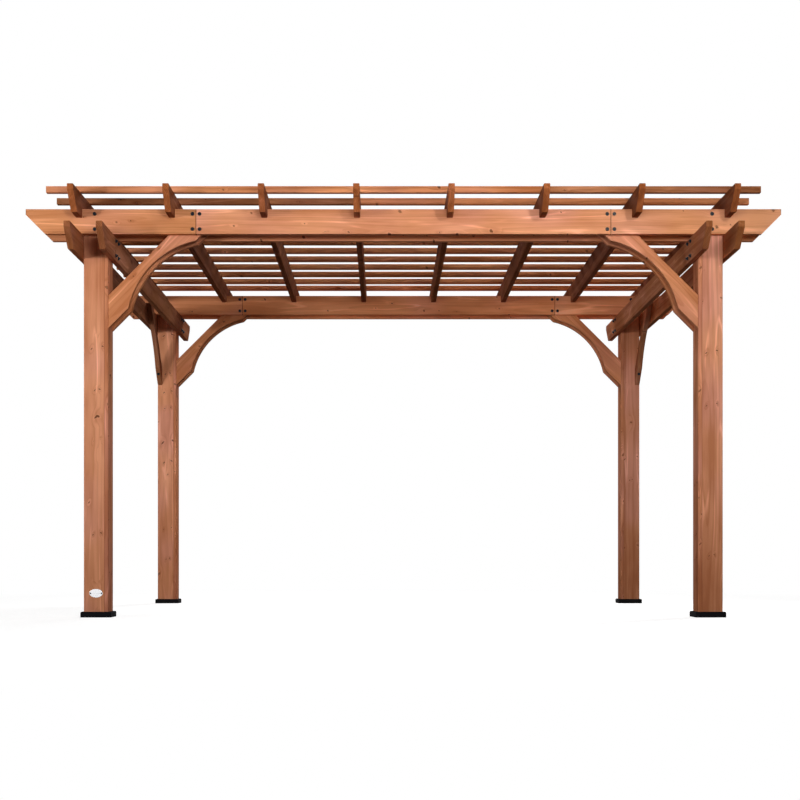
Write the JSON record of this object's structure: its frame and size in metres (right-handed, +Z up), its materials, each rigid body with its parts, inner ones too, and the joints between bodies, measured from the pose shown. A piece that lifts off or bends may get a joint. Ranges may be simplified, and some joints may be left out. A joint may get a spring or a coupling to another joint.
{
  "type": "pergola",
  "caption": "Free-standing timber pergola: square posts with arched corner braces carry paired beams, notched rafters and an open slatted roof.",
  "frame": {"origin": "on the ground at the middle of the plan", "axes": "+X along the long beams to the right, +Y from front to back, +Z up"},
  "size_m": [4.267, 3.46, 2.428],
  "materials": {
    "post_wood": "smooth stained cedar",
    "beam_wood": "smooth stained cedar",
    "rafter_wood": "smooth stained cedar",
    "slat_wood": "smooth stained cedar",
    "brace_wood": "smooth stained cedar",
    "black_plastic": "black moulded plastic",
    "black_steel": "black coated bolts"
  },
  "bodies": {
    "root": {"base_cover_front_left": "black_plastic", "base_cover_front_right": "black_plastic", "base_cover_rear_left": "black_plastic", "base_cover_rear_right": "black_plastic", "beam_front_inner_left": "beam_wood", "beam_front_inner_middle": "beam_wood", "beam_front_inner_right": "beam_wood", "beam_front_outer_left": "beam_wood", "beam_front_outer_middle": "beam_wood", "beam_front_outer_right": "beam_wood", "beam_rear_inner_left": "beam_wood", "beam_rear_inner_middle": "beam_wood", "beam_rear_inner_right": "beam_wood", "beam_rear_outer_left": "beam_wood", "beam_rear_outer_middle": "beam_wood", "beam_rear_outer_right": "beam_wood", "long_brace_front_left": "brace_wood", "long_brace_front_right": "brace_wood", "long_brace_rear_left": "brace_wood", "long_brace_rear_right": "brace_wood", "post_front_left": "post_wood", "post_front_right": "post_wood", "post_rear_left": "post_wood", "post_rear_right": "post_wood", "rafter_1": "rafter_wood", "rafter_2": "rafter_wood", "rafter_3": "rafter_wood", "rafter_4": "rafter_wood", "rafter_5": "rafter_wood", "rafter_6": "rafter_wood", "rafter_7": "rafter_wood", "rafter_8": "rafter_wood", "roof_slats": "slat_wood", "side_beam_left_inner": "beam_wood", "side_beam_left_outer": "beam_wood", "side_beam_right_inner": "beam_wood", "side_beam_right_outer": "beam_wood", "side_brace_front_left": "brace_wood", "side_brace_front_right": "brace_wood", "side_brace_rear_left": "brace_wood", "side_brace_rear_right": "brace_wood", "splice_block_front_left": "rafter_wood", "splice_block_front_right": "rafter_wood", "splice_block_rear_left": "rafter_wood", "splice_block_rear_right": "rafter_wood"}
  },
  "joints": []
}
